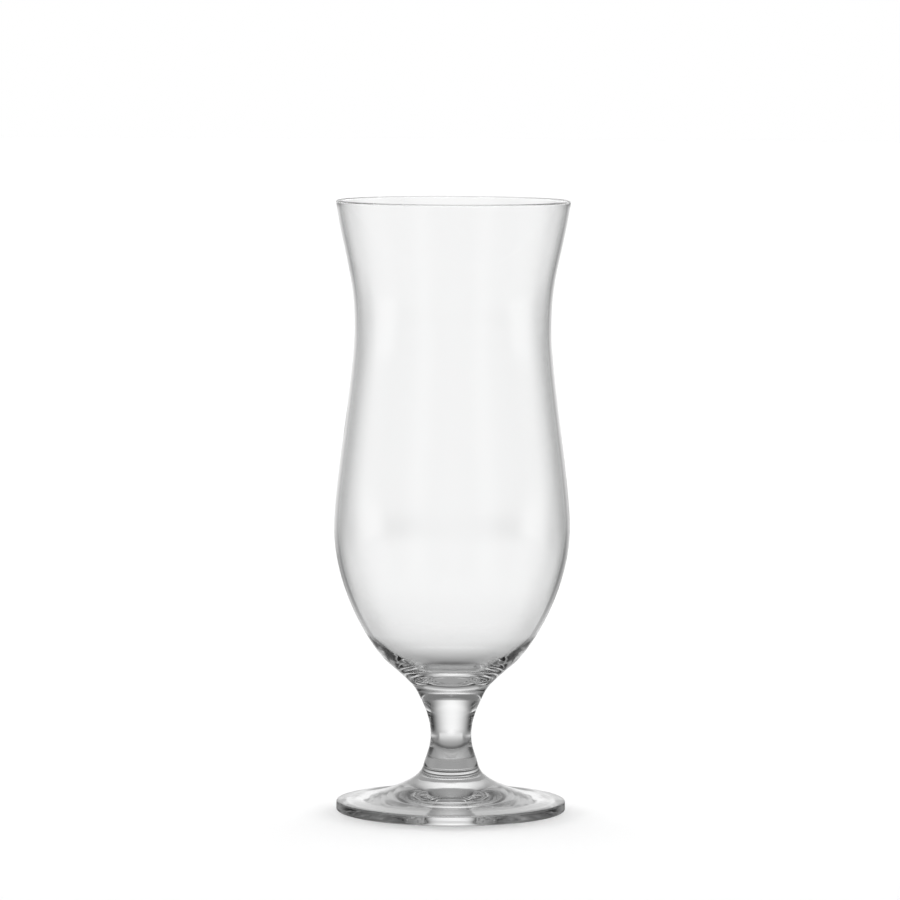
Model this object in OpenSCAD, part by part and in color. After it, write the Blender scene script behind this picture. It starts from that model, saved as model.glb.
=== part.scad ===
// Waisted beer glass on a short solid stem: a blown bowl, a pressed stem and a pressed foot, welded end to end.
// Millimetres, +Z up, origin where the glass's axis meets the surface that it stands on.

/* [Heights] */
// Height of the foot, from the table to its weld with the stem
foot_h = 15; // [12:0.5:20]
// Length of the stem between its two welds
stem_len = 25; // [20:0.5:40]
// Height of the bowl, from its weld with the stem to the lip
bowl_h = 165; // [140:1:190]

/* [Bowl outside] */
// Diameter over the lip
rim_d = 78.5; // [68:0.5:92]
// Lean of the wall at the lip, outwards, in degrees
rim_angle = 9; // [0:0.5:16]
// Diameter of the waist
waist_d = 65.8; // [56:0.2:78]
// Depth of the waist below the lip
waist_drop = 43; // [30:0.5:60]
// Diameter of the belly
belly_d = 79.1; // [70:0.1:92]
// Height of the belly above the weld with the stem
belly_rise = 55.3; // [44:0.1:70]
// Diameter of the heel, where the bowl's underside starts to run into the stem
heel_d = 42.6; // [34:0.2:52]
// Height of the heel above the weld with the stem
heel_rise = 9.9; // [7:0.1:14]
// Slope of the underside at the heel, from upright, in degrees
heel_angle = 49.3; // [40:0.1:60]

/* [Bowl wall] */
// Wall thickness at the lip
rim_wall = 1.1; // [0.8:0.05:2.4]
// Wall thickness at the waist
waist_wall = 1.15; // [0.8:0.05:2.4]
// Wall thickness at the belly
belly_wall = 1.3; // [0.9:0.05:2.6]
// Wall thickness where the wall starts to swell into the thick base
well_wall = 1.5; // [1:0.05:3]
// Glass between the weld and the lowest point of the inside
floor_t = 4.3; // [3:0.1:9]

/* [Welds] */
// Diameter of the weld between bowl and stem
neck_d = 22.8; // [18:0.1:27]
// Slope of the outline at the weld between bowl and stem, from upright, in degrees
neck_angle = 26.7; // [18:0.1:36]
// Diameter of the weld between stem and foot
ankle_d = 18.5; // [15.5:0.1:24]
// Slope of the outline at the weld between stem and foot, from upright, in degrees
ankle_angle = 14; // [6:0.5:24]

/* [Stem] */
// Smallest diameter of the stem
stem_d = 13.7; // [10:0.1:15]
// Height of the stem's narrowest place above its weld with the foot
stem_narrow_rise = 10.1; // [8:0.1:14]

/* [Foot] */
// Diameter of the foot
foot_d = 76.9; // [64:0.1:92]
// Slope of the foot's top at its edge, in degrees
foot_slope = 5; // [3:0.1:8]
// Height of the foot's upright edge
edge_h = 3.3; // [2.4:0.1:4.2]
// Radius of the upper rounding of the foot's edge
edge_round_top = 0.6; // [0.4:0.1:1.2]
// Radius of the lower rounding of the foot's edge
edge_round_low = 0.5; // [0.3:0.1:1]
// Width of the flat ring that the glass stands on
ring_w = 3.4; // [2:0.1:8]
// Rise of the hollow under the foot, at the axis
hollow_rise = 3.4; // [1:0.1:5]

/* [Curves] */
// Pull of the lip on the curve down to the waist, as a share of that curve's chord
rim_pull = 0.476; // [0.3:0.002:0.6]
// Pull of the waist on the curve up to the lip
waist_pull = 0.424; // [0.3:0.002:0.6]
// Pull of waist and belly on the curve between them
flank_pull = 0.23; // [0.15:0.002:0.4]
// Pull of the belly on the curve down to the heel
belly_pull = 0.43; // [0.3:0.002:0.55]
// Pull of the heel on the curve up to the belly
heel_pull = 0.14; // [0.08:0.002:0.3]
// Pull of the heel and the weld on the curve between them
neck_pull = 0.24; // [0.15:0.002:0.4]
// Pull of both ends on the two curves of the stem
stem_pull = 0.37; // [0.2:0.002:0.5]
// Pull of the weld on the flare of the foot
ankle_pull = 0.21; // [0.1:0.002:0.4]
// Pull of the edge on the flare of the foot
flare_pull = 0.36; // [0.2:0.002:0.6]
// Share of the way from belly to heel at which the wall starts to swell
well_at = 0.64; // [0.5:0.01:0.75]
// Pull of the swelling wall on the curve down to the inside's lowest point
well_pull = 0.258; // [0.15:0.002:0.4]
// Pull of the lowest point on the same curve
floor_pull = 0.432; // [0.3:0.002:0.55]

/* [Hidden] */
$fn = 128;
glass_tint = [0.90, 0.94, 0.95, 0.55];
steps = 12;

neck_z = foot_h + stem_len;
top_z = neck_z + bowl_h;
lip_r = rim_wall / 2;
lip_middle = [rim_d / 2 - lip_r, top_z - lip_r];

// Stations of the outline, as [radius, height]
lip = lip_middle + lip_r * across(-rim_angle);
waist = [waist_d / 2, top_z - waist_drop];
belly = [belly_d / 2, neck_z + belly_rise];
heel = [heel_d / 2, neck_z + heel_rise];
neck = [neck_d / 2, neck_z];
narrow = [stem_d / 2, foot_h + stem_narrow_rise];
ankle = [ankle_d / 2, foot_h];
top_middle = [foot_d / 2 - edge_round_top, edge_h - edge_round_top];
edge = top_middle + edge_round_top * across(90 - foot_slope);
low_middle = [foot_d / 2 - edge_round_low, edge_round_low];
hollow_r = low_middle[0] - ring_w;
hollow_ball = (hollow_r ^ 2 + hollow_rise ^ 2) / (2 * hollow_rise);
floor_middle = [0, neck_z + floor_t];

// Curves of the outline, each running downwards
throat = bend(lip, -rim_angle, rim_pull, waist, 0, waist_pull);
flank = bend(waist, 0, flank_pull, belly, 0, flank_pull);
round_base = bend(belly, 0, belly_pull, heel, -heel_angle, heel_pull);
shoulder = bend(heel, -heel_angle, neck_pull, neck, -neck_angle, neck_pull);
stem_top = bend(neck, -neck_angle, stem_pull, narrow, 0, stem_pull);
stem_low = bend(narrow, 0, stem_pull, ankle, ankle_angle, stem_pull);
flare = bend(ankle, ankle_angle, ankle_pull, edge, 90 - foot_slope, flare_pull);
well = inside(round_base, well_at, well_wall);
well_angle = lean(round_base, well_at);
basin = bend(well, well_angle, well_pull, floor_middle, -90, floor_pull);

// Unit vector at an angle from straight outwards, which is square to a curve at that angle from straight down
function across(angle) = [cos(angle), sin(angle)];

// Unit vector along a downward curve that leans outwards by an angle
function down(angle) = [sin(angle), -cos(angle)];

// Control points of the curve from p, leaving at angle a, to q, arriving at angle b
function bend(p, a, pull_p, q, b, pull_q) =
    let (chord = norm(q - p))
    [p, p + pull_p * chord * down(a), q - pull_q * chord * down(b), q];

// Point at share t of a curve
function at(c, t) =
    (1 - t) ^ 3 * c[0] + 3 * (1 - t) ^ 2 * t * c[1] + 3 * (1 - t) * t ^ 2 * c[2] + t ^ 3 * c[3];

// Direction of a curve at share t
function heading(c, t) =
    (1 - t) ^ 2 * (c[1] - c[0]) + 2 * (1 - t) * t * (c[2] - c[1]) + t ^ 2 * (c[3] - c[2]);

// Angle of a downward curve at share t, from straight down
function lean(c, t) = let (d = heading(c, t)) atan2(d[0], -d[1]);

// Point inside the wall, square to the curve at share t
function inside(c, t, wall) = at(c, t) - wall * across(lean(c, t));

// Points of a curve after its first
function outer_points(c) = [for (i = [1:steps]) at(c, i / steps)];

// Points along the inner face of a wall that follows a curve as far as share reach, thickening from w0 to w1
function inner_points(c, w0, w1, reach = 1) =
    [for (i = [1:steps]) inside(c, reach * i / steps, w0 + (w1 - w0) * i / steps)];

// Points of an arc after its first, between two angles from straight outwards
function arc_points(middle, r, from, to) =
    [for (i = [1:steps]) middle + r * across(from + (to - from) * i / steps)];

function reversed(points) = [for (i = [len(points) - 1:-1:0]) points[i]];

// Solid of revolution of a half section
module turned(points) {
    color(glass_tint) rotate_extrude() polygon(points);
}

// Blown bowl with a round lip and a thick base
module bowl() {
    turned(concat(
        [[0, neck_z]],
        reversed(concat(
            [lip],
            outer_points(throat),
            outer_points(flank),
            outer_points(round_base),
            outer_points(shoulder)
        )),
        arc_points(lip_middle, lip_r, -rim_angle, 90),
        arc_points(lip_middle, lip_r, 90, 180 - rim_angle),
        inner_points(throat, rim_wall, waist_wall),
        inner_points(flank, waist_wall, belly_wall),
        inner_points(round_base, belly_wall, well_wall, well_at),
        outer_points(basin)
    ));
}

// Solid stem, drawn in between its two welds
module stem() {
    turned(concat(
        [[0, neck_z], neck],
        outer_points(stem_top),
        outer_points(stem_low),
        [[0, foot_h]]
    ));
}

// Foot with a flared top, an upright edge, a flat standing ring and a shallow hollow under it
module foot() {
    hollow_half = asin(hollow_r / hollow_ball);
    turned(concat(
        [[0, foot_h], ankle],
        outer_points(flare),
        arc_points(top_middle, edge_round_top, 90 - foot_slope, 0),
        [low_middle + edge_round_low * across(0)],
        arc_points(low_middle, edge_round_low, 0, -90),
        [[hollow_r, 0]],
        arc_points([0, hollow_rise - hollow_ball], hollow_ball, 90 - hollow_half, 90)
    ));
}

bowl();
stem();
foot();
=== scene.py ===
"""Footed beer glass of clear blown and pressed glass, standing on a pale studio table.

The bowl, the stem and the foot are turned about the glass's axis from smooth outlines. They meet face to face
at two welds. The welded faces lie inside one body of glass, so they don't show. Lengths are in metres, and
angles are in degrees.
"""

from __future__ import annotations

import logging
import math
from dataclasses import dataclass, field
from enum import Enum
from typing import Any

import bpy
from mathutils import Matrix, Vector

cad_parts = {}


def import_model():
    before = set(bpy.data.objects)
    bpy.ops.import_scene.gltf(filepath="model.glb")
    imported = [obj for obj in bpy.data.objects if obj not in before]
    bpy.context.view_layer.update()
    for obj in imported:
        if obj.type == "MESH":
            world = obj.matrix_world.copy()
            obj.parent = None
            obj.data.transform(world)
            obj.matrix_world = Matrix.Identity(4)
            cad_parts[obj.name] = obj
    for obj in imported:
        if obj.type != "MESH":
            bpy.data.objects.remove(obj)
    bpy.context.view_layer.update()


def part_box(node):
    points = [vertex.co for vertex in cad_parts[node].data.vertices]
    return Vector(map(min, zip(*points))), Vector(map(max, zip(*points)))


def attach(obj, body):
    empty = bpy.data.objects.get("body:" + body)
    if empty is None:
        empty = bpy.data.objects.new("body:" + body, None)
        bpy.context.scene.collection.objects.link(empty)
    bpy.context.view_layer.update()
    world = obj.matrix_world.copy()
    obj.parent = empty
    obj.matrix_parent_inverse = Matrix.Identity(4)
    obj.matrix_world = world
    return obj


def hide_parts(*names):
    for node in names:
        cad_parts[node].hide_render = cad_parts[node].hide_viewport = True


LOG = logging.getLogger("beer_glass")
BODY = "root"
FREE_ARM = "FREE"


class Skin(Enum):
    """Material slots of a piece of glass, in their order on the mesh."""

    GLASS = 0
    WELD = 1


class MixSocket(Enum):
    """Places of the colour sockets on a Mix node, which has several sockets of one name."""

    SHARE = 0
    FIRST = 6
    SECOND = 7
    RESULT = 2


def across(angle: float) -> Vector:
    """Unit vector in the half section, at an angle in degrees from straight outwards."""
    return Vector((math.cos(math.radians(angle)), math.sin(math.radians(angle))))


def down(angle: float) -> Vector:
    """Unit vector along a downward curve that leans outwards by an angle in degrees."""
    return Vector((math.sin(math.radians(angle)), -math.cos(math.radians(angle))))


@dataclass(frozen=True)
class Bend:
    """Smooth curve of the half section, given by its four control points as (radius, height)."""

    p: Vector
    p_arm: Vector
    q_arm: Vector
    q: Vector

    @classmethod
    def between(
        cls, p: Vector, p_angle: float, p_pull: float, q: Vector, q_angle: float, q_pull: float
    ) -> Bend:
        """Make the downward curve from p to q.

        Args:
            p: Upper end.
            p_angle: Lean of the curve at the upper end, in degrees from straight down.
            p_pull: Length of the upper arm, as a share of the chord.
            q: Lower end.
            q_angle: Lean of the curve at the lower end.
            q_pull: Length of the lower arm, as a share of the chord.

        Returns:
            The curve.
        """
        chord = (q - p).length
        return cls(p, p + p_pull * chord * down(p_angle), q - q_pull * chord * down(q_angle), q)

    def at(self, t: float) -> Vector:
        """Point at share t of the curve."""
        s = 1 - t
        return s**3 * self.p + 3 * s**2 * t * self.p_arm + 3 * s * t**2 * self.q_arm + t**3 * self.q

    def heading(self, t: float) -> Vector:
        """Derivative of the curve.

        Args:
            t: Share of the curve.

        Returns:
            The derivative there, as (radius, height).
        """
        s = 1 - t
        first = s**2 * (self.p_arm - self.p)
        middle = 2 * s * t * (self.q_arm - self.p_arm)
        last = t**2 * (self.q - self.q_arm)
        return 3 * (first + middle + last)

    def lean(self, t: float) -> float:
        """Angle of the curve at share t, in degrees from straight down."""
        way = self.heading(t)
        return math.degrees(math.atan2(way.x, -way.y))

    def inside(self, t: float, wall: float) -> Vector:
        """Point inside the wall, square to the curve at share t."""
        return self.at(t) - wall * across(self.lean(t))

    def split(self, t: float) -> tuple[Bend, Bend]:
        """Cut the curve in two.

        Args:
            t: Share of the curve at which it is cut.

        Returns:
            The two curves, in order.
        """
        a = self.p.lerp(self.p_arm, t)
        middle = self.p_arm.lerp(self.q_arm, t)
        c = self.q_arm.lerp(self.q, t)
        left = a.lerp(middle, t)
        right = middle.lerp(c, t)
        knot = left.lerp(right, t)
        return Bend(self.p, a, left, knot), Bend(knot, right, c, self.q)

    def turning(self, samples: int = 16) -> float:
        """Angle through which the curve turns from end to end, in degrees, both ways added up."""
        ways = [self.heading(i / samples) for i in range(samples + 1)]
        return sum(math.degrees(a.angle(b)) for a, b in zip(ways, ways[1:]))

    def parts(self, step: float, length: float) -> list[Bend]:
        """Cut the curve into stretches.

        Args:
            step: Angle through which a stretch may turn, in degrees.
            length: How long a stretch may be.

        Returns:
            The stretches, in order.
        """
        count = max(1, math.ceil(self.turning() / step), math.ceil((self.q - self.p).length / length))
        stretches = []
        rest = self
        for i in range(count - 1):
            first, rest = rest.split(1 / (count - i))
            stretches.append(first)
        return stretches + [rest]

    def back(self) -> Bend:
        """The same curve, run the other way."""
        return Bend(self.q, self.q_arm, self.p_arm, self.p)


@dataclass(frozen=True)
class WallLine:
    """Inner face of a wall that follows a curve and thickens along it.

    Attributes:
        curve: Outer face of the wall.
        wall_from: Thickness at the upper end.
        wall_to: Thickness at the lower end.
        reach: Share of the curve that the inner face follows.
        spans: Number of curves that it is drawn with.
    """

    curve: Bend
    wall_from: float
    wall_to: float
    reach: float = 1.0
    spans: int = 4

    def at(self, s: float) -> Vector:
        """Point at share s of the inner face."""
        return self.curve.inside(s * self.reach, self.wall_from + (self.wall_to - self.wall_from) * s)

    def heading(self, s: float) -> Vector:
        """Derivative of the inner face, from two near points.

        Args:
            s: Share of the inner face.

        Returns:
            The derivative there, as (radius, height).
        """
        near = 1e-3
        low = max(0.0, s - near)
        high = min(1.0, s + near)
        return (self.at(high) - self.at(low)) / (high - low)

    def bends(self) -> list[Bend]:
        """Draw the inner face.

        Returns:
            The curves that follow it, in order.
        """
        step = 1 / self.spans
        bends = []
        for i in range(self.spans):
            a = i * step
            b = (i + 1) * step
            p = self.at(a)
            q = self.at(b)
            bends.append(Bend(p, p + self.heading(a) * step / 3, q - self.heading(b) * step / 3, q))
        return bends


def arc(middle: Vector, radius: float, start: float, end: float, spans: int) -> list[Bend]:
    """Curves along a round stretch of the outline.

    Args:
        middle: Centre of the arc, in the half section.
        radius: Radius of the arc.
        start: Angle of its first point, in degrees from straight outwards.
        end: Angle of its last point.
        spans: Number of curves.

    Returns:
        The curves, in order.
    """
    step = (end - start) / spans
    # With arms of this length, a curve follows the circle.
    arm = 4 / 3 * math.tan(math.radians(step) / 4) * radius
    bends = []
    for i in range(spans):
        a = start + i * step
        b = a + step
        p = middle + radius * across(a)
        q = middle + radius * across(b)
        bends.append(Bend(p, p + arm * across(a + 90), q - arm * across(b + 90), q))
    return bends


@dataclass
class Outline:
    """Half section of a turned piece: a chain of curves and straight stretches from axis to axis.

    Attributes:
        knots: Places that the outline passes, each with the ends of its two arms.
        step: Angle through which a stretch of a curve may turn.
        round_step: Angle through which a stretch of a small rounding may turn.
        length: How long a stretch may be.
    """

    knots: list[tuple[Vector, Vector, Vector]] = field(default_factory=list)
    step: float = 5.0
    round_step: float = 24.0
    length: float = 0.01

    def start(self, radius: float, height: float) -> None:
        """Set the first knot."""
        place = Vector((radius, height))
        self.knots = [(place, place, place)]

    def line(self, place: Vector) -> None:
        """Add a straight stretch to a place."""
        self.knots.append((place, place, place))

    def follow(self, *bends: Bend) -> None:
        """Add curves, each of which starts where the last one ended."""
        for bend in bends:
            self._add(bend.parts(self.step, self.length))

    def round(self, *bends: Bend) -> None:
        """Add curves of a small rounding, which needs fewer stretches."""
        for bend in bends:
            self._add(bend.parts(self.round_step, self.length))

    def _add(self, stretches: list[Bend]) -> None:
        """Add stretches of a curve.

        Args:
            stretches: The stretches, in order, from where the outline ended.
        """
        for bend in stretches:
            place, arm_in, _ = self.knots[-1]
            self.knots[-1] = (place, arm_in, bend.p_arm)
            self.knots.append((bend.q, bend.q_arm, bend.q))


@dataclass(frozen=True)
class Lathe:
    """Turns outlines into closed meshes about the glass's axis.

    Attributes:
        turns: Steps of one full turn.
        grain: Edges along each stretch of an outline.
        merge: Distance within which points become one.
        crease: Angle between two faces past which their edge stays sharp.
    """

    turns: int = 288
    grain: int = 4
    merge: float = 1e-7
    crease: float = 50.0

    def curve(self, name: str, outline: Outline) -> bpy.types.Object:
        """Draw an outline as a curve in the plane of X and Z.

        Args:
            name: Name of the piece.
            outline: Its half section.

        Returns:
            The curve's object, active and alone selected.
        """
        bpy.ops.object.select_all(action="DESELECT")
        bpy.ops.curve.primitive_bezier_curve_add(location=(0, 0, 0))
        piece = bpy.context.object
        piece.name = name
        piece.data.dimensions = "3D"
        piece.data.resolution_u = self.grain
        spline = piece.data.splines[0]
        spline.bezier_points.add(len(outline.knots) - len(spline.bezier_points))
        for point, (place, arm_in, arm_out) in zip(spline.bezier_points, outline.knots):
            point.handle_left_type = FREE_ARM
            point.handle_right_type = FREE_ARM
            point.co = (place.x, 0, place.y)
            point.handle_left = (arm_in.x, 0, arm_in.y)
            point.handle_right = (arm_out.x, 0, arm_out.y)
        return piece

    def turn(self, name: str, outline: Outline) -> bpy.types.Object:
        """Make the solid of revolution of an outline.

        Args:
            name: Name of the piece.
            outline: Its half section, from axis to axis.

        Returns:
            The piece, smooth and closed, with its faces outwards.
        """
        piece = self.curve(name, outline)
        bpy.ops.object.convert(target="MESH")
        piece = bpy.context.object
        bpy.ops.object.mode_set(mode="EDIT")
        bpy.ops.mesh.select_all(action="SELECT")
        bpy.ops.mesh.spin(steps=self.turns, angle=2 * math.pi, center=(0, 0, 0), axis=(0, 0, 1))
        bpy.ops.mesh.select_all(action="SELECT")
        bpy.ops.mesh.remove_doubles(threshold=self.merge)
        bpy.ops.mesh.normals_make_consistent(inside=False)
        bpy.ops.object.mode_set(mode="OBJECT")
        piece.data.name = name
        bpy.ops.object.shade_smooth_by_angle(angle=math.radians(self.crease))
        return piece


class Signal:
    """A shader value that can be used in arithmetic. Each operation adds a node."""

    def __init__(self, sheet: NodeSheet, socket: bpy.types.NodeSocket) -> None:
        """Wrap an output socket of a node on a sheet."""
        self.sheet = sheet
        self.socket = socket

    def _math(self, operation: str, *values: Any) -> Signal:
        """Add a Math node on one or two values."""
        return self.sheet.node("ShaderNodeMath", {"operation": operation}, dict(enumerate(values)))["Value"]

    def __add__(self, other: Any) -> Signal:
        """Sum."""
        return self._math("ADD", self, other)

    def __radd__(self, other: Any) -> Signal:
        """Sum, from the right."""
        return self._math("ADD", other, self)

    def __sub__(self, other: Any) -> Signal:
        """Difference."""
        return self._math("SUBTRACT", self, other)

    def __rsub__(self, other: Any) -> Signal:
        """Difference, from the right."""
        return self._math("SUBTRACT", other, self)

    def __mul__(self, other: Any) -> Signal:
        """Product."""
        return self._math("MULTIPLY", self, other)

    def __rmul__(self, other: Any) -> Signal:
        """Product, from the right."""
        return self._math("MULTIPLY", other, self)

    def most(self, other: Any) -> Signal:
        """Larger of two values."""
        return self._math("MAXIMUM", self, other)

    def __abs__(self) -> Signal:
        """Size without its sign."""
        return self._math("ABSOLUTE", self)

    def sine(self) -> Signal:
        """Sine."""
        return self._math("SINE", self)

    def root(self) -> Signal:
        """Square root."""
        return self._math("SQRT", self)

    def decay(self, scale: float) -> Signal:
        """Exponential decay from 1 as this value grows from 0, over a length."""
        return self._math("EXPONENT", self * (-1 / scale))

    def turned(self, other: Signal) -> Signal:
        """Angle in degrees whose tangent is this value over another one."""
        return self._math("ARCTAN2", self, other) * (180 / math.pi)

    def eased(self, low: float, high: float, out_low: float = 0.0, out_high: float = 1.0) -> Signal:
        """Value that eases from out_low to out_high as this one goes from low to high."""
        return self.sheet.node(
            "ShaderNodeMapRange",
            {"interpolation_type": "SMOOTHSTEP", "clamp": True},
            {"Value": self, "From Min": low, "From Max": high, "To Min": out_low, "To Max": out_high},
        )["Result"]


class NodeOutputs:
    """Outputs of a node, looked up by name."""

    def __init__(self, sheet: NodeSheet, node: bpy.types.Node) -> None:
        """Hold a node and its sheet."""
        self.sheet = sheet
        self.node = node

    def __getitem__(self, name: str) -> Signal:
        """Output of that name, as a signal."""
        return Signal(self.sheet, self.node.outputs[name])

    def colour(self) -> Signal:
        """Colour output of a Mix node."""
        return Signal(self.sheet, self.node.outputs[MixSocket.RESULT.value])


class NodeSheet:
    """Node tree of one material or of the world, started empty."""

    def __init__(self, tree: bpy.types.NodeTree) -> None:
        """Take over a node tree and clear it."""
        self.tree = tree
        tree.nodes.clear()

    def node(
        self, kind: str, settings: dict[str, Any] | None = None, inputs: dict[Any, Any] | None = None
    ) -> NodeOutputs:
        """Add a node.

        Args:
            kind: The node's type.
            settings: Its properties, set before its sockets.
            inputs: Values or signals for its input sockets, by name or place.

        Returns:
            The node's outputs.
        """
        node = self.tree.nodes.new(kind)
        for name, value in (settings or {}).items():
            setattr(node, name, value)
        for name, value in (inputs or {}).items():
            if isinstance(value, Signal):
                self.tree.links.new(value.socket, node.inputs[name])
            else:
                node.inputs[name].default_value = value
        return NodeOutputs(self, node)

    def noise(self, place: Signal, scale: float, detail: float) -> Signal:
        """Cloudy pattern between 0 and 1, at a scale per metre and with finer layers by its detail."""
        return self.node("ShaderNodeTexNoise", {}, {"Vector": place, "Scale": scale, "Detail": detail})["Fac"]

    def parts(self, place: Signal) -> NodeOutputs:
        """The X, Y and Z of a vector."""
        return self.node("ShaderNodeSeparateXYZ", {}, {"Vector": place})

    def colour_mix(self, share: Any, first: Any, second: Any) -> Signal:
        """Blend of two colours by a share."""
        sockets = {MixSocket.SHARE.value: share, MixSocket.FIRST.value: first, MixSocket.SECOND.value: second}
        return self.node("ShaderNodeMix", {"data_type": "RGBA"}, sockets).colour()


@dataclass(frozen=True)
class ClearGlass:
    """Colourless glass with a trace of haze, slow ripples, press marks in its low part, and a softer lip.

    Attributes:
        name: Name of the material.
        ior: Index of refraction.
        body: Colour where the glass is clearest.
        tint: Colour where it is most tinted.
        tint_scale: Scale of the tint's clouds, per metre.
        tint_detail: Number of finer layers in the tint.
        haze: Roughness where the haze is full.
        haze_scale: Scale of the haze's clouds, per metre.
        haze_detail: Number of finer layers in the haze.
        haze_from: Density of a cloud at which the haze starts.
        haze_full: Density from which it is full.
        ripple_scale: Scale of the slow ripples, per metre.
        ripple_detail: Number of finer layers in all the ripples.
        ripple_depth: Depth of the slow ripples.
        press_scale: Scale of the ripples on the pressed part, per metre.
        press_depth: Depth of the ripples on the pressed part.
        press_low: Height up to which the press marks are full.
        press_high: Height at which they end.
        ring_step: Distance between two rings on the pressed part.
        ring_depth: Height of the rings above and below the skin.
        lip_low: Height at which the lip's softer skin starts.
        lip_high: Height from which it is full.
        lip_haze: Roughness of the lip.
    """

    name: str = "clear_glass"
    ior: float = 1.52
    body: tuple[float, ...] = (0.997, 0.998, 0.998, 1.0)
    tint: tuple[float, ...] = (0.988, 0.991, 0.991, 1.0)
    tint_scale: float = 14.0
    tint_detail: float = 2.0
    haze: float = 0.012
    haze_scale: float = 45.0
    haze_detail: float = 4.0
    haze_from: float = 0.55
    haze_full: float = 0.8
    ripple_scale: float = 60.0
    ripple_detail: float = 1.0
    ripple_depth: float = 0.00002
    press_scale: float = 150.0
    press_depth: float = 0.00003
    press_low: float = 0.048
    press_high: float = 0.062
    ring_step: float = 0.0032
    ring_depth: float = 0.000003
    lip_low: float = 0.2041
    lip_high: float = 0.2045
    lip_haze: float = 0.27

    def surface(self, sheet: NodeSheet, place: Signal) -> Signal:
        """Relief of the glass.

        Args:
            sheet: The material's node sheet.
            place: Object coordinates.

        Returns:
            The height of the skin: slow ripples all over, quick ones and rings on the pressed part.
        """
        slow = sheet.noise(place, self.ripple_scale, self.ripple_detail)
        quick = sheet.noise(place, self.press_scale, self.ripple_detail)
        parts = sheet.parts(place)
        radius = (parts["X"] * parts["X"] + parts["Y"] * parts["Y"]).root()
        rings = (radius * (2 * math.pi / self.ring_step)).sine()
        pressed = parts["Z"].eased(self.press_low, self.press_high, 1.0, 0.0)
        return slow * self.ripple_depth + pressed * (quick * self.press_depth + rings * self.ring_depth)

    def make(self) -> bpy.types.Material:
        """Make the material.

        Returns:
            The material, with tint, haze and relief from Object coordinates.
        """
        material = bpy.data.materials.new(self.name)
        material.use_nodes = True
        sheet = NodeSheet(material.node_tree)
        place = sheet.node("ShaderNodeTexCoord")["Object"]
        tint = sheet.noise(place, self.tint_scale, self.tint_detail)
        cloud = sheet.noise(place, self.haze_scale, self.haze_detail).eased(self.haze_from, self.haze_full)
        lip = sheet.parts(place)["Z"].eased(self.lip_low, self.lip_high)
        relief = self.surface(sheet, place)
        bump = sheet.node("ShaderNodeBump", {}, {"Strength": 1.0, "Distance": 1.0, "Height": relief})
        glass = sheet.node(
            "ShaderNodeBsdfPrincipled",
            {},
            {
                "Base Color": sheet.colour_mix(tint, self.body, self.tint),
                "Roughness": cloud * self.haze + lip * self.lip_haze,
                "IOR": self.ior,
                "Transmission Weight": 1.0,
                "Normal": bump["Normal"],
            },
        )["BSDF"]
        sheet.node("ShaderNodeOutputMaterial", {}, {"Surface": glass})
        return material


@dataclass(frozen=True)
class WeldedFace:
    """Face inside the glass, where two pieces have melted together and nothing shows."""

    name: str = "welded_face"

    def make(self) -> bpy.types.Material:
        """Make the material.

        Returns:
            The material, which lets everything through unbent.
        """
        material = bpy.data.materials.new(self.name)
        material.use_nodes = True
        sheet = NodeSheet(material.node_tree)
        glass = sheet.node("ShaderNodeBsdfPrincipled", {}, {"Alpha": 0.0})["BSDF"]
        sheet.node("ShaderNodeOutputMaterial", {}, {"Surface": glass})
        return material


@dataclass(frozen=True)
class Welds:
    """The two welds, where bowl, stem and foot run into each other.

    Attributes:
        neck_r: Radius of the upper weld.
        neck_z: Height of the upper weld.
        ankle_z: Height of the lower weld.
        neck_angle: Lean of the outline at the upper weld, from straight down.
        ankle_r: Radius of the lower weld.
        ankle_angle: Lean of the outline at the lower weld.
        margin: Share of a curve next to a weld that is a stretch of its own.
    """

    neck_r: float
    neck_z: float
    ankle_z: float
    neck_angle: float = -26.7
    ankle_r: float = 0.00925
    ankle_angle: float = 14.0
    margin: float = 0.04

    @property
    def neck(self) -> Vector:
        """Rim of the upper weld."""
        return Vector((self.neck_r, self.neck_z))

    @property
    def ankle(self) -> Vector:
        """Rim of the lower weld."""
        return Vector((self.ankle_r, self.ankle_z))


@dataclass
class Piece:
    """One piece of the glass, which stands for a solid of the frame.

    Attributes:
        welds: Where the piece meets its neighbours.
        lathe: What turns its outline.
        node: Name of the solid.
    """

    welds: Welds
    lathe: Lathe
    node: str = ""

    def dress(self, piece: bpy.types.Object, glass: bpy.types.Material, weld: bpy.types.Material) -> None:
        """Give a piece its finish, hang it on the body, and hide the solid that it stands for.

        Args:
            piece: The piece's object.
            glass: Material of its skin.
            weld: Material of its welded faces.
        """
        near = 1e-6
        heights = (self.welds.neck_z, self.welds.ankle_z)
        piece.data.materials.append(glass)
        piece.data.materials.append(weld)
        points = piece.data.vertices
        for face in piece.data.polygons:
            spots = [points[i].co.z for i in face.vertices]
            welded = any(max(abs(z - height) for z in spots) < near for height in heights)
            face.material_index = Skin.WELD.value if welded else Skin.GLASS.value
        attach(piece, BODY)
        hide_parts(self.node)
        LOG.info("%s: %d faces", piece.name, len(piece.data.polygons))


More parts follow.
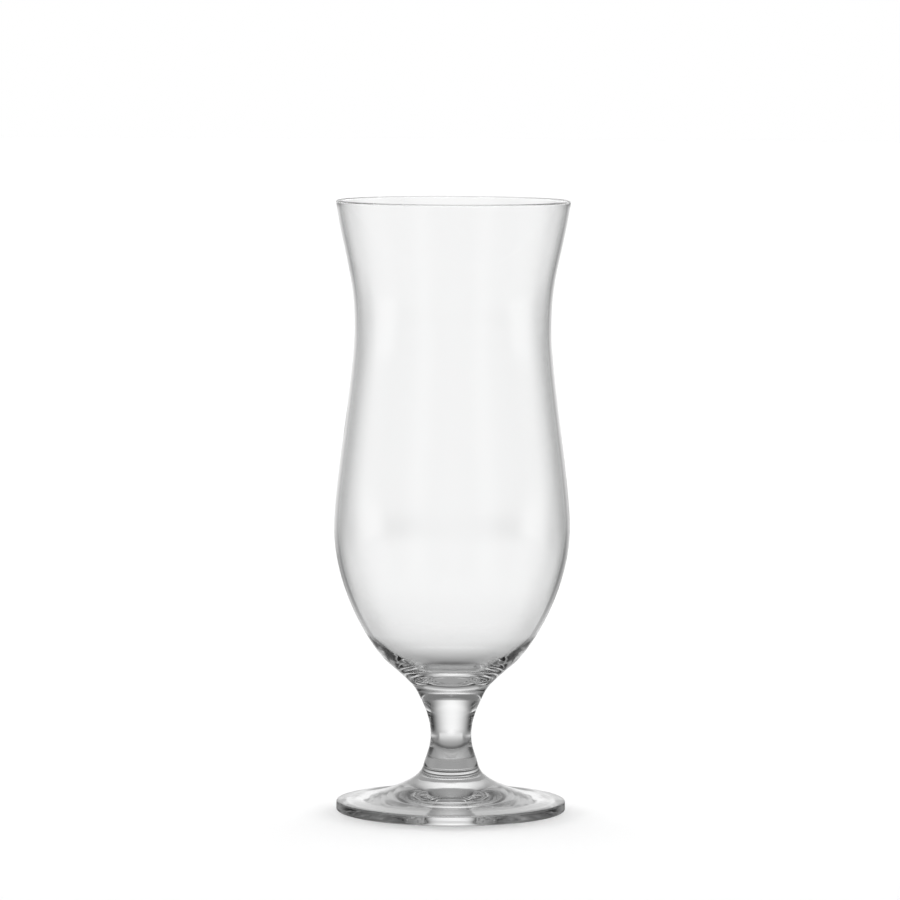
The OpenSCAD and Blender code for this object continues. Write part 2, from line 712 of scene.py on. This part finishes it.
@dataclass
class Bowl(Piece):
    """Thin blown bowl with a round lip, a waist, a belly and a thick base.

    The pulls are the lengths of the curves' arms, as shares of their chords.

    Attributes:
        rim_r: Outer radius of the lip.
        rim_angle: Lean of the wall at the lip, from straight down.
        waist_r: Outer radius of the waist.
        waist_drop: Distance of the waist below the lip's top.
        belly_rise: Height of the belly above the weld.
        heel_r: Outer radius of the heel, where the base meets the shoulder above the stem.
        heel_rise: Height of the heel above the weld.
        heel_angle: Lean of the wall at the heel.
        rim_wall: Thickness of the wall at the lip.
        waist_wall: Thickness at the waist.
        belly_wall: Thickness at the belly.
        well_wall: Thickness where the inside starts to round off into its bottom.
        floor_wall: Thickness of the bottom on the axis.
        rim_pull: Pull of the throat's curve at the lip.
        waist_pull: Pull of the throat's curve at the waist.
        flank_pull: Both pulls of the curve between waist and belly.
        belly_pull: Pull of the base's curve at the belly.
        heel_pull: Pull of the base's curve at the heel.
        neck_pull: Both pulls of the shoulder's curve, between heel and weld.
        well_at: Share of the base's curve at which the inside starts to round off.
        well_pull: Pull of the bottom's curve at the wall.
        floor_pull: Pull of the bottom's curve on the axis.
    """

    node: str = "bowl"
    rim_r: float = 0.03925
    rim_angle: float = -9.0
    waist_r: float = 0.0329
    waist_drop: float = 0.043
    belly_rise: float = 0.0553
    heel_r: float = 0.0213
    heel_rise: float = 0.0099
    heel_angle: float = -49.3
    rim_wall: float = 0.0011
    waist_wall: float = 0.00115
    belly_wall: float = 0.0013
    well_wall: float = 0.0015
    floor_wall: float = 0.0043
    rim_pull: float = 0.476
    waist_pull: float = 0.424
    flank_pull: float = 0.23
    belly_pull: float = 0.43
    heel_pull: float = 0.14
    neck_pull: float = 0.24
    well_at: float = 0.64
    well_pull: float = 0.258
    floor_pull: float = 0.432

    def build(self) -> bpy.types.Object:
        """Model the bowl between its weld and the lip.

        Returns:
            The bowl's object.
        """
        _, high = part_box(self.node)
        weld_z = self.welds.neck_z
        lip_r = self.rim_wall / 2
        lip_middle = Vector((self.rim_r - lip_r, high.z - lip_r))
        lip = lip_middle + lip_r * across(self.rim_angle)
        waist = Vector((self.waist_r, high.z - self.waist_drop))
        belly = Vector((high.x, weld_z + self.belly_rise))
        heel = Vector((self.heel_r, weld_z + self.heel_rise))
        throat = Bend.between(lip, self.rim_angle, self.rim_pull, waist, 0, self.waist_pull)
        flank = Bend.between(waist, 0, self.flank_pull, belly, 0, self.flank_pull)
        base = Bend.between(belly, 0, self.belly_pull, heel, self.heel_angle, self.heel_pull)
        shoulder = Bend.between(
            heel, self.heel_angle, self.neck_pull, self.welds.neck, self.welds.neck_angle, self.neck_pull
        )
        well = base.inside(self.well_at, self.well_wall)
        floor = Vector((0, weld_z + self.floor_wall))
        basin = Bend.between(well, base.lean(self.well_at), self.well_pull, floor, -90, self.floor_pull)
        upper, lower = shoulder.split(1 - self.welds.margin)
        outline = Outline()
        outline.start(0, weld_z)
        outline.line(self.welds.neck)
        outline.follow(lower.back(), upper.back(), base.back(), flank.back(), throat.back())
        outline.round(*arc(lip_middle, lip_r, self.rim_angle, 180 + self.rim_angle, spans=4))
        outline.follow(*WallLine(throat, self.rim_wall, self.waist_wall).bends())
        outline.follow(*WallLine(flank, self.waist_wall, self.belly_wall).bends())
        outline.follow(*WallLine(base, self.belly_wall, self.well_wall, self.well_at).bends())
        outline.follow(basin)
        return self.lathe.turn("glass_bowl", outline)


@dataclass
class Stem(Piece):
    """Short solid stem, drawn in between its two welds.

    Attributes:
        narrow_r: Radius of the narrowest place.
        narrow_rise: Height of that place above the lower weld.
        pull: Lengths of the curves' arms, as shares of their chords.
    """

    node: str = "stem"
    narrow_r: float = 0.00685
    narrow_rise: float = 0.0101
    pull: float = 0.37

    def build(self) -> bpy.types.Object:
        """Model the stem between the two welds.

        Returns:
            The stem's object.
        """
        welds = self.welds
        narrow = Vector((self.narrow_r, welds.ankle_z + self.narrow_rise))
        top = Bend.between(welds.neck, welds.neck_angle, self.pull, narrow, 0, self.pull)
        low = Bend.between(narrow, 0, self.pull, welds.ankle, welds.ankle_angle, self.pull)
        outline = Outline()
        outline.start(0, welds.neck_z)
        outline.line(welds.neck)
        outline.follow(*top.split(welds.margin))
        outline.follow(*low.split(1 - welds.margin))
        outline.line(Vector((0, welds.ankle_z)))
        return self.lathe.turn("glass_stem", outline)


@dataclass
class Foot(Piece):
    """Round pressed foot with a flared top, an upright edge, a standing ring and a hollow under it.

    Attributes:
        slope: Slope of the top at the edge.
        edge_h: Height of the edge.
        edge_round_top: Radius of the edge's upper rounding.
        edge_round_low: Radius of the edge's lower rounding.
        ring_w: Width of the flat standing ring.
        hollow_rise: Height of the hollow on the axis.
        ankle_pull: Length of the flare's arm at the weld, as a share of the chord.
        flare_pull: Length of the flare's arm at the edge, as a share of the chord.
    """

    node: str = "foot"
    slope: float = 5.0
    edge_h: float = 0.0033
    edge_round_top: float = 0.0006
    edge_round_low: float = 0.0005
    ring_w: float = 0.0034
    hollow_rise: float = 0.0034
    ankle_pull: float = 0.21
    flare_pull: float = 0.36

    def build(self) -> bpy.types.Object:
        """Model the foot under its weld.

        Returns:
            The foot's object.
        """
        _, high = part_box(self.node)
        welds = self.welds
        top_middle = Vector((high.x - self.edge_round_top, self.edge_h - self.edge_round_top))
        low_middle = Vector((high.x - self.edge_round_low, self.edge_round_low))
        edge_angle = 90 - self.slope
        edge = top_middle + self.edge_round_top * across(edge_angle)
        flare = Bend.between(
            welds.ankle, welds.ankle_angle, self.ankle_pull, edge, edge_angle, self.flare_pull
        )
        hollow_r = low_middle.x - self.ring_w
        # The hollow is part of a ball, whose radius follows from its width and height.
        ball = (hollow_r**2 + self.hollow_rise**2) / (2 * self.hollow_rise)
        hollow_half = math.degrees(math.asin(hollow_r / ball))
        outline = Outline()
        outline.start(0, welds.ankle_z)
        outline.line(welds.ankle)
        outline.follow(*flare.split(welds.margin))
        outline.round(*arc(top_middle, self.edge_round_top, edge_angle, 0, spans=2))
        outline.line(Vector((high.x, self.edge_round_low)))
        outline.round(*arc(low_middle, self.edge_round_low, 0, -90, spans=2))
        outline.line(Vector((hollow_r, 0)))
        outline.follow(*arc(Vector((0, self.hollow_rise - ball)), ball, 90 - hollow_half, 90, spans=2))
        return self.lathe.turn("glass_foot", outline)


@dataclass(frozen=True)
class Sector:
    """Stretch of azimuth around the glass, with soft ends, measured from straight behind it.

    Attributes:
        middle: Azimuth of its middle.
        core: Distance from the middle up to which it is whole.
        end: Distance from the middle at which it ends.
    """

    middle: float
    core: float
    end: float

    def share(self, turn: Signal) -> Signal:
        """Share of the stretch at an azimuth, 1 within its core and 0 past its end."""
        return abs(turn - self.middle).eased(self.core, self.end, 1.0, 0.0)


@dataclass(frozen=True)
class Surround:
    """What the glass mirrors and bends, by direction.

    A lit backdrop stands behind the glass, with dim gaps beside it. Grey cards and low windows stand to the
    sides, and below the horizon the sides are pale. Azimuths are measured from straight behind, heights run
    from -1 to 1, and a level of 1 is white.

    Attributes:
        backdrop: Azimuths of the backdrop.
        backdrop_level: Its level in its lower part.
        backdrop_top: Height at which it starts to dim.
        backdrop_end: Height from which it has dimmed.
        backdrop_high: Its level from there on.
        card: Azimuths of the grey cards, on both sides.
        card_level: Their level.
        front_start: Azimuth at which the wall on the viewer's side starts.
        front_end: Azimuth from which that wall has its level.
        front_level: Level of that wall.
        high_start: Height at which cards and wall start to give way to the ceiling.
        high_end: Height from which they have given way.
        high_level: Level of the ceiling.
        gap_below: Level of the gaps a little below the horizon.
        gap_steep: Level of the gaps steeply below it.
        gap_low: Height up to which gap_steep holds.
        gap_high: Height from which gap_below holds.
        glare: Azimuths of the glare behind the glass, below the horizon.
        glare_low: Height from which the glare rises, out of reach, so that it never ends.
        glare_high: Height from which it is full.
        side_start: Azimuth at which the gaps start to give way to the pale sides.
        side_end: Azimuth from which they have given way.
        side_level: Level of the pale sides.
        horizon_low: Height at which the horizon's soft band starts.
        horizon_high: Height at which it ends.
        viewer_start: Azimuth at which the pale sides start to dim towards the viewer.
        viewer_end: Azimuth from which they have dimmed.
        viewer_level: Level below the horizon on the viewer's side.
        flank_start: Azimuth at which the soft band starts to narrow.
        flank_end: Azimuth from which it has narrowed.
        flank_low: Height at which the narrow band starts.
        window: Azimuths of the low windows, on both sides.
        window_level: Their level.
        window_start: Height up to which they are full.
        window_end: Height at which they end.
    """

    backdrop: Sector = Sector(-1.8, 1, 53)
    backdrop_level: float = 1.0
    backdrop_top: float = 0.4
    backdrop_end: float = 0.6
    backdrop_high: float = 0.15
    card: Sector = Sector(86, 3, 30)
    card_level: float = 0.44
    front_start: float = 125.0
    front_end: float = 150.0
    front_level: float = 0.35
    high_start: float = 0.32
    high_end: float = 0.57
    high_level: float = 0.2
    gap_below: float = 0.02
    gap_steep: float = 0.6
    gap_low: float = -0.5
    gap_high: float = -0.12
    glare: Sector = Sector(0, 0.5, 12.5)
    glare_low: float = -1.5
    glare_high: float = -0.14
    side_start: float = 27.0
    side_end: float = 52.0
    side_level: float = 0.95
    horizon_low: float = -0.36
    horizon_high: float = 0.035
    viewer_start: float = 140.0
    viewer_end: float = 165.0
    viewer_level: float = 0.6
    flank_start: float = 68.0
    flank_end: float = 80.0
    flank_low: float = -0.25
    window: Sector = Sector(90, 2, 26)
    window_level: float = 0.8
    window_start: float = 0.01
    window_end: float = 0.09

    def level(self, turn: Signal, z: Signal) -> Signal:
        """Brightness in a direction.

        Args:
            turn: Azimuth in degrees from straight behind the glass.
            z: Height of the direction, from -1 to 1.

        Returns:
            The brightness, 1 for white.
        """
        wide = abs(turn)
        gap = z.eased(self.gap_low, self.gap_high, self.gap_steep, self.gap_below)
        glare = self.glare.share(turn) * z.eased(self.glare_low, self.glare_high)
        side = wide.eased(self.side_start, self.side_end)
        pale = wide.eased(self.viewer_start, self.viewer_end, self.side_level, self.viewer_level)
        below = gap + glare * (1 - gap) + side * (pale - gap)
        backdrop = z.eased(self.backdrop_top, self.backdrop_end, self.backdrop_level, self.backdrop_high)
        front = wide.eased(self.front_start, self.front_end, 0.0, self.front_level)
        cards = self.card.share(wide) * self.card_level + front
        high = z.eased(self.high_start, self.high_end)
        over = self.backdrop.share(turn) * backdrop + cards + (self.high_level - cards) * high
        horizon = z.eased(self.horizon_low, self.horizon_high)
        raised = z.eased(self.flank_low, self.horizon_high)
        horizon = horizon + (raised - horizon) * wide.eased(self.flank_start, self.flank_end)
        level = below + (over - below) * horizon
        window = self.window.share(wide) * z.eased(self.window_start, self.window_end, 1.0, 0.0)
        return level + (self.window_level - level) * window


@dataclass(frozen=True)
class PaintedTableShading:
    """Painted light and shade that the glass sees on the table near it, by place.

    The table is painted dim under the foot, as painted shade, and darkest in a ring around it, as a painted
    contact shadow. It has painted shade close behind the glass and painted light further out to the sides and
    in front. A wedge of painted glare, a painted reflection of the backdrop, lies behind. A level of 1 is
    white.

    Attributes:
        painted_foot_shade: Level of the painted shade under the foot.
        near_end: Radius up to which painted_foot_shade holds.
        painted_contact_shadow: Level of the painted contact shadow, a dark ring around the foot.
        contact_shadow_start: Inner radius of the painted contact shadow.
        contact_shadow_end: Outer radius of the painted contact shadow.
        far_start: Radius from which only the open table is left.
        painted_gap_shade: Level of the painted shade on the open table close to the glass and behind it.
        side_level: Level of the painted light on the open table to the sides and in front.
        side_start: Distance to the side or front up to which painted_gap_shade holds.
        side_end: Distance to the side or front from which side_level holds.
        wedge: Half width of the wedge of painted glare, as a share of the distance behind the axis.
        wedge_soft: Half width of its soft edges.
        glare_far: Level of the glare far away.
        glare_near: Level of the glare at glare_start.
        glare_edge: Distance behind the axis at which the glare sets in.
        glare_start: Distance behind the axis from which it is whole.
        glare_length: Distance over which it nears its far level.
        fade_start: Radius at which the surround starts to take the table's place.
        fade_end: Radius from which only the surround is left.
        glare_fade_start: Value of fade_start within the wedge.
        glare_fade_end: Value of fade_end within the wedge.
    """

    painted_foot_shade: float = 0.34
    near_end: float = 0.03
    painted_contact_shadow: float = 0.1
    contact_shadow_start: float = 0.042
    contact_shadow_end: float = 0.05
    far_start: float = 0.07
    painted_gap_shade: float = 0.185
    side_level: float = 0.9
    side_start: float = 0.042
    side_end: float = 0.165
    wedge: float = 0.46
    wedge_soft: float = 0.009
    glare_far: float = 0.96
    glare_near: float = 0.33
    glare_edge: float = 0.042
    glare_start: float = 0.062
    glare_length: float = 0.11
    fade_start: float = 0.1
    fade_end: float = 0.241
    glare_fade_start: float = 0.112
    glare_fade_end: float = 0.484

    def level(self, x: Signal, y: Signal) -> tuple[Signal, Signal]:
        """Painted light and shade at a place on the table.

        Args:
            x: Place across the view.
            y: Place behind the glass.

        Returns:
            The brightness, 1 for white, and the share of the surround that takes its place further away.
        """
        radius = (x * x + y * y).root()
        front = (y * -1).most(0.0)
        away = (x * x + front * front).root()
        # Painted shade close behind the glass, painted light further out to the sides and in front.
        side = away.eased(self.side_start, self.side_end, self.painted_gap_shade, self.side_level)
        # Painted shade under the foot, darkening into a painted contact shadow in a ring around it.
        ring = radius.eased(self.near_end, self.contact_shadow_start, self.painted_foot_shade, self.painted_contact_shadow)
        base = ring + (side - ring) * radius.eased(self.contact_shadow_end, self.far_start)
        # Wedge of painted glare behind the glass, a painted reflection of the backdrop.
        edge = abs(x) - self.wedge * y
        within = edge.eased(-self.wedge_soft, self.wedge_soft, 1.0, 0.0)
        wedge = within * y.eased(self.glare_edge, self.glare_start)
        rise = self.glare_far - self.glare_near
        glare = self.glare_far - rise * (y - self.glare_start).most(0.0).decay(self.glare_length)
        fade = radius.eased(self.fade_start, self.fade_end)
        glare_fade = radius.eased(self.glare_fade_start, self.glare_fade_end)
        return base + (glare - base) * wedge, fade + (glare_fade - fade) * wedge


@dataclass(frozen=True)
class TableLight:
    """Light that falls on the table: soft from all around, and stronger from low behind the glass.

    Attributes:
        even: Level of the soft light.
        behind: Azimuths of the stronger light.
        strength: Level of the stronger light.
        low: Height from which the stronger light is full.
        high: Height up to which it is full.
        top: Height at which it ends.
    """

    even: float = 0.5
    behind: Sector = Sector(0, 30, 90)
    strength: float = 17.5
    low: float = 0.03
    high: float = 0.22
    top: float = 0.45

    def level(self, turn: Signal, z: Signal) -> Signal:
        """Brightness from a direction, given by its azimuth in degrees and its height."""
        lobe = self.behind.share(turn) * z.eased(0.0, self.low) * z.eased(self.high, self.top, 1.0, 0.0)
        return self.even + lobe * self.strength


@dataclass(frozen=True)
class Studio:
    """White surround and pale table for the camera, light for the table, and the set that the glass shows.

    Attributes:
        surround: What the glass shows of the studio.
        top: Painted light and shade that the glass sees on the table.
        lamp: Light on the table.
        table_r: Radius of the table.
        table_sides: Number of sides that its edge is drawn with.
        table_drop: Gap between the table and the foot.
        table_colour: Colour of the table where its grain is full.
        table_fleck: Colour of the table where it has no grain.
        table_grain: Scale of the grain, per metre.
        table_detail: Number of finer layers in the grain.
        table_glow: Light that the table gives off towards the camera, so that it meets the white surround.
    """

    surround: Surround = Surround()
    top: PaintedTableShading = PaintedTableShading()
    lamp: TableLight = TableLight()
    table_r: float = 8.0
    table_sides: int = 96
    table_drop: float = 0.0001
    table_colour: tuple[float, ...] = (0.71, 0.71, 0.71, 1.0)
    table_fleck: tuple[float, ...] = (0.69, 0.69, 0.69, 1.0)
    table_grain: float = 400.0
    table_detail: float = 2.0
    table_glow: float = 0.24

    def light(self) -> None:
        """Set up the world: white for the camera, the set for the glass and a lamp for the table."""
        world = bpy.data.worlds.new("studio")
        bpy.context.scene.world = world
        world.use_nodes = True
        sheet = NodeSheet(world.node_tree)
        path = sheet.node("ShaderNodeLightPath")
        camera = path["Is Camera Ray"]
        glass = path["Is Glossy Ray"].most(path["Is Transmission Ray"]) * (1 - camera)
        parts = sheet.parts(sheet.node("ShaderNodeTexCoord")["Generated"])
        turn = parts["X"].turned(parts["Y"])
        lamp = self.lamp.level(turn, parts["Z"])
        other = lamp + (1 - lamp) * camera
        level = other + (self.surround.level(turn, parts["Z"]) - other) * glass
        light = sheet.node("ShaderNodeBackground", {}, {"Color": level, "Strength": 1.0})["Background"]
        sheet.node("ShaderNodeOutputWorld", {}, {"Surface": light})

    def table(self) -> bpy.types.Object:
        """Lay the table.

        Returns:
            The table's object: pale and glowing for the camera, and with uneven painted light and shade where
            the glass shows it.
        """
        bpy.ops.object.select_all(action="DESELECT")
        bpy.ops.mesh.primitive_circle_add(
            vertices=self.table_sides,
            radius=self.table_r,
            fill_type="NGON",
            location=(0, 0, -self.table_drop),
        )
        table = bpy.context.object
        table.name = "table"
        bpy.ops.object.transform_apply(location=True)
        material = bpy.data.materials.new("pale_table")
        material.use_nodes = True
        sheet = NodeSheet(material.node_tree)
        camera = sheet.node("ShaderNodeLightPath")["Is Camera Ray"]
        place = sheet.node("ShaderNodeTexCoord")["Object"]
        parts = sheet.parts(place)
        level, fade = self.top.level(parts["X"], parts["Y"])
        grain = sheet.noise(place, self.table_grain, self.table_detail)
        colour = sheet.colour_mix(grain, self.table_fleck, self.table_colour)
        matt = sheet.node("ShaderNodeBsdfDiffuse", {}, {"Color": colour})["BSDF"]
        glow = sheet.node("ShaderNodeEmission", {}, {"Strength": self.table_glow})["Emission"]
        plain = sheet.node("ShaderNodeAddShader", {}, {0: matt, 1: glow})["Shader"]
        # Painted light and shade of the table, given off as light towards the glass only.
        lit = sheet.node("ShaderNodeEmission", {}, {"Color": level})["Emission"]
        clear = sheet.node("ShaderNodeBsdfTransparent")["BSDF"]
        shown = sheet.node("ShaderNodeMixShader", {}, {0: fade, 1: lit, 2: clear})["Shader"]
        surface = sheet.node("ShaderNodeMixShader", {}, {0: camera, 1: shown, 2: plain})["Shader"]
        sheet.node("ShaderNodeOutputMaterial", {}, {"Surface": surface})
        table.data.materials.append(material)
        return table


@dataclass(frozen=True)
class Viewpoint:
    """Camera that sees the glass as the photograph does.

    Attributes:
        place: Where the camera stands.
        tilt: Angle by which it looks down.
        roll: Angle by which it is turned about its view.
        sensor: Width of its sensor, in millimetres.
        lens: Focal length, in millimetres.
    """

    place: tuple[float, float, float] = (-0.0008, -1.8924, 0.27856)
    tilt: float = 4.748
    roll: float = 0.28
    sensor: float = 36.0
    lens: float = 226.74

    def make(self) -> bpy.types.Object:
        """Make the camera and use it.

        Returns:
            The camera's object.
        """
        data = bpy.data.cameras.new("viewpoint")
        data.sensor_width = self.sensor
        data.lens = self.lens
        camera = bpy.data.objects.new("viewpoint", data)
        bpy.context.scene.collection.objects.link(camera)
        level = Matrix.Rotation(math.radians(90 - self.tilt), 4, "X")
        roll = Matrix.Rotation(math.radians(self.roll), 4, "Z")
        camera.matrix_world = Matrix.Translation(self.place) @ level @ roll
        bpy.context.scene.camera = camera
        return camera


def set_light_paths(bounces: int = 32, clear_faces: int = 64) -> None:
    """Let light pass through every wall of the glass.

    Args:
        bounces: Reflections and refractions that a ray may make.
        clear_faces: Welded faces that it may cross.
    """
    cycles = bpy.context.scene.cycles
    cycles.max_bounces = bounces
    cycles.glossy_bounces = bounces
    cycles.transmission_bounces = bounces
    cycles.transparent_max_bounces = clear_faces


def main() -> None:
    """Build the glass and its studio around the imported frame."""
    logging.basicConfig(level=logging.INFO, format="%(name)s: %(message)s")
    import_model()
    bpy.context.scene.view_settings.view_transform = "Standard"
    set_light_paths()
    Viewpoint().make()
    studio = Studio()
    studio.light()
    studio.table()
    stem_low, stem_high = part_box("stem")
    welds = Welds(neck_r=stem_high.x, neck_z=stem_high.z, ankle_z=stem_low.z)
    lathe = Lathe()
    glass = ClearGlass().make()
    weld = WeldedFace().make()
    for part in (Bowl(welds, lathe), Stem(welds, lathe), Foot(welds, lathe)):
        part.dress(part.build(), glass, weld)


if __name__ == "__main__":
    main()
